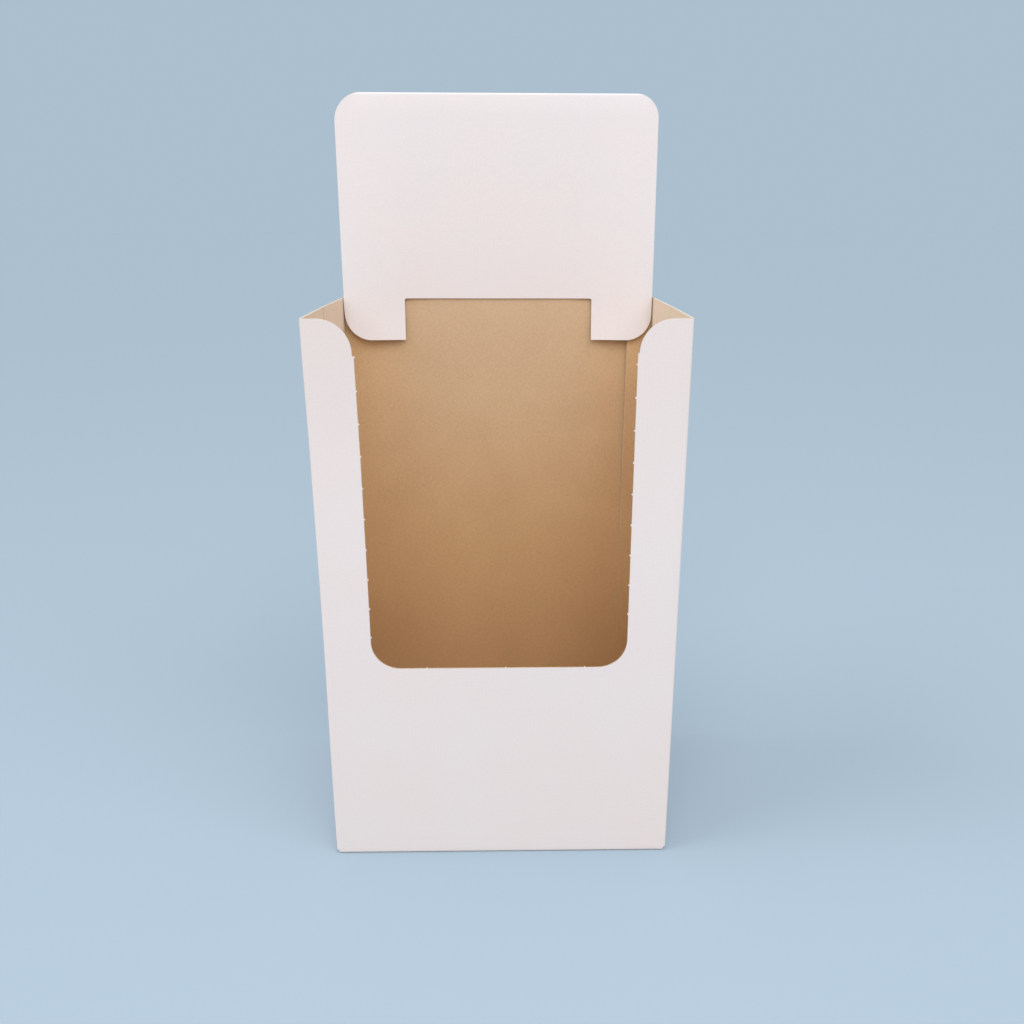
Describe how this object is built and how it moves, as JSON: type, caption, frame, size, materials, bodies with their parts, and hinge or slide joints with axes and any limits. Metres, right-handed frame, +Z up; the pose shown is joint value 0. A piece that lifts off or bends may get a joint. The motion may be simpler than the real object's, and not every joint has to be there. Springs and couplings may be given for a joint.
{
  "type": "pallet box",
  "caption": "Tall open-front corrugated display box for a pallet, white outside and brown inside, with a torn-out front window and a turned-over header panel standing up from the back.",
  "frame": {"origin": "on the floor under the middle of the box's footprint", "axes": "+Z up, -Y out of the front window, +X to the right seen from the front"},
  "size_m": [0.6, 0.4, 1.321],
  "materials": {
    "white_lined_board": "matt white liner outside, brown kraft liner inside, raw fluted cut edges"
  },
  "bodies": {
    "root": {"folded_box": "white_lined_board"}
  },
  "joints": []
}
